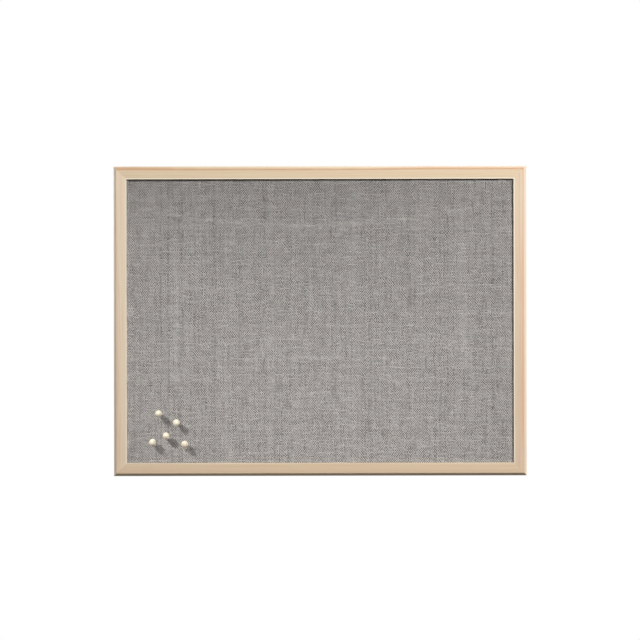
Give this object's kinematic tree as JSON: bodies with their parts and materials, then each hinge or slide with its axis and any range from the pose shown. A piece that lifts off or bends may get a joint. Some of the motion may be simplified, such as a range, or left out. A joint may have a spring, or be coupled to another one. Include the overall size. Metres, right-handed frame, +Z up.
{
  "type": "pin board",
  "caption": "Wall-hung pin board: grey linen stretched over a soft core in a mitred pine frame, with turned wooden push pins and ring hangers on the back.",
  "frame": {"origin": "Middle of the board on the plane of the frame's rear face, where the board hangs against the wall.", "axes": "X to the right along the board's length, Y from the front to the wall, Z up."},
  "size_m": [0.6, 0.036, 0.45],
  "materials": {
    "pine": "satin",
    "linen": "matte",
    "softboard": "matte",
    "hardboard": "matte",
    "steel": "satin",
    "felt": "matte",
    "pin_wood": "satin"
  },
  "bodies": {
    "board": {"top_rail": "pine", "bottom_rail": "pine", "left_stile": "pine", "right_stile": "pine", "top_right_v_nail": "steel", "bottom_right_v_nail": "steel", "bottom_left_v_nail": "steel", "top_left_v_nail": "steel", "top_point_1": "steel", "top_point_2": "steel", "top_point_3": "steel", "right_point_1": "steel", "right_point_2": "steel", "bottom_point_1": "steel", "bottom_point_2": "steel", "bottom_point_3": "steel", "left_point_1": "steel", "left_point_2": "steel", "cover_staple_1": "steel", "cover_staple_2": "steel", "cover_staple_3": "steel", "cover_staple_4": "steel", "cover_staple_5": "steel", "cover_staple_6": "steel", "cover_staple_7": "steel", "cover_staple_8": "steel", "cover_staple_9": "steel", "cover_staple_10": "steel", "core_board": "softboard", "linen_cover": "linen", "back_panel": "hardboard", "left_hanger_strap": "steel", "left_hanger_screw": "steel", "left_felt_pad": "felt", "right_hanger_strap": "steel", "right_hanger_screw": "steel", "right_felt_pad": "felt"},
    "left_ring": {"left_hanger_ring": "steel"},
    "right_ring": {"right_hanger_ring": "steel"},
    "pin_1": {"pin_1_head": "pin_wood", "pin_1_needle": "steel"},
    "pin_2": {"pin_2_head": "pin_wood", "pin_2_needle": "steel"},
    "pin_3": {"pin_3_head": "pin_wood", "pin_3_needle": "steel"},
    "pin_4": {"pin_4_head": "pin_wood", "pin_4_needle": "steel"},
    "pin_5": {"pin_5_head": "pin_wood", "pin_5_needle": "steel"}
  },
  "joints": [
    {"name": "left_ring_swing", "type": "hinge", "parent": "board", "child": "left_ring", "pos_m": [-0.2935, 0.0019, 0.165], "axis": [1, 0, 0], "range_deg": [0, 180]},
    {"name": "right_ring_swing", "type": "hinge", "parent": "board", "child": "right_ring", "pos_m": [0.2935, 0.0019, 0.165], "axis": [1, 0, 0], "range_deg": [0, 180]},
    {"name": "pin_1_pull", "type": "slide", "parent": "board", "child": "pin_1", "axis": [-0.0523, -0.9945, 0.0905], "range_m": [0, 0.02]},
    {"name": "pin_2_pull", "type": "slide", "parent": "board", "child": "pin_2", "axis": [-0.0604, -0.9976, 0.0349], "range_m": [0, 0.02]},
    {"name": "pin_3_pull", "type": "slide", "parent": "board", "child": "pin_3", "axis": [-0.0806, -0.9063, 0.4149], "range_m": [0, 0.02]},
    {"name": "pin_4_pull", "type": "slide", "parent": "board", "child": "pin_4", "axis": [-0.2128, -0.8387, 0.5013], "range_m": [0, 0.02]},
    {"name": "pin_5_pull", "type": "slide", "parent": "board", "child": "pin_5", "axis": [-0.0234, -0.7431, 0.6687], "range_m": [0, 0.02]}
  ]
}
